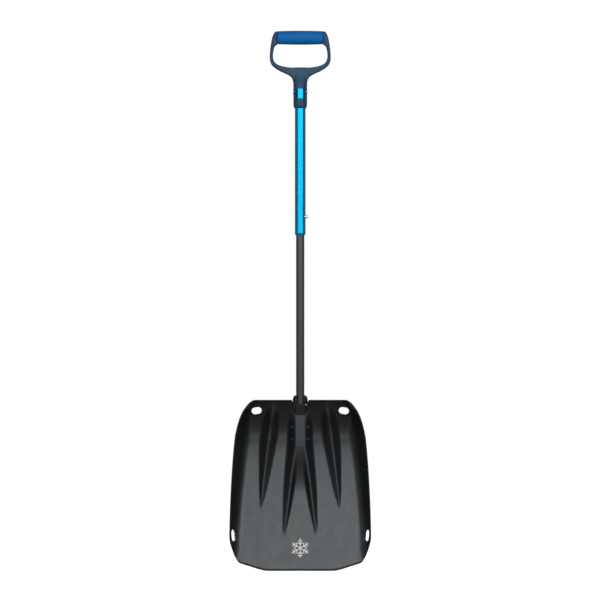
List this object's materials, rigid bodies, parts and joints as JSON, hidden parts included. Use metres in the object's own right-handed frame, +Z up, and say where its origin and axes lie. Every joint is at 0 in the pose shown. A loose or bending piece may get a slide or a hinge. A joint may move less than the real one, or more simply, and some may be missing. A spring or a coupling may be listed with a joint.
{
  "type": "avalanche shovel",
  "caption": "Telescopic avalanche shovel: ribbed aluminium scoop, trapezoidal two-part shaft with sprung lock buttons, D-grip with soft sleeve.",
  "frame": {"origin": "straight below the axis of the shaft, level with the cutting edge", "axes": "+Z up along the shaft, -Y out of the scoop, +X towards the lock buttons"},
  "size_m": [0.254, 0.0592, 0.9684],
  "materials": {
    "blade_anodised": "satin charcoal anodised sheet",
    "rivet_black": "satin black",
    "black_moulding": "fine moulded grain",
    "grey_anodised": "satin anodised tube",
    "blue_anodised": "bright satin anodised tube",
    "navy_nylon": "moulded nylon",
    "blue_rubber": "soft matte rubber",
    "steel": "bright steel",
    "spring_steel": "blued spring leaf"
  },
  "bodies": {
    "blade": {"blade": "blade_anodised", "blade_socket": "black_moulding", "socket_rivet_1": "rivet_black", "socket_rivet_2": "rivet_black", "socket_rivet_3": "rivet_black", "socket_rivet_4": "rivet_black"},
    "lower_shaft": {"lower_tube": "grey_anodised", "guide_plug": "black_moulding", "foot_plug": "black_moulding", "shaft_lock_spring": "spring_steel", "blade_lock_spring": "spring_steel"},
    "shaft_button": {"shaft_lock_button": "steel"},
    "blade_button": {"blade_lock_button": "steel"},
    "handle": {"upper_tube": "blue_anodised", "d_grip": "navy_nylon", "grip_sleeve": "blue_rubber", "grip_pin": "steel"}
  },
  "joints": [
    {"name": "blade_release", "type": "slide", "parent": "blade", "child": "lower_shaft", "axis": [0, 0, 1], "range_m": [0, 0.09], "deforming": ["blade_lock_button"]},
    {"name": "telescope", "type": "slide", "parent": "lower_shaft", "child": "handle", "axis": [0, 0, -1], "range_m": [0, 0.165], "deforming": ["shaft_lock_button"]},
    {"name": "shaft_button_press", "type": "slide", "parent": "lower_shaft", "child": "shaft_button", "axis": [-1, 0, 0], "range_m": [0, 0.006], "stiffness_N_per_m": 800, "springref_m": -0.004, "deforming": ["shaft_lock_spring"]},
    {"name": "blade_button_press", "type": "slide", "parent": "lower_shaft", "child": "blade_button", "axis": [-1, 0, 0], "range_m": [0, 0.006], "stiffness_N_per_m": 800, "springref_m": -0.004, "deforming": ["blade_lock_spring"]}
  ]
}
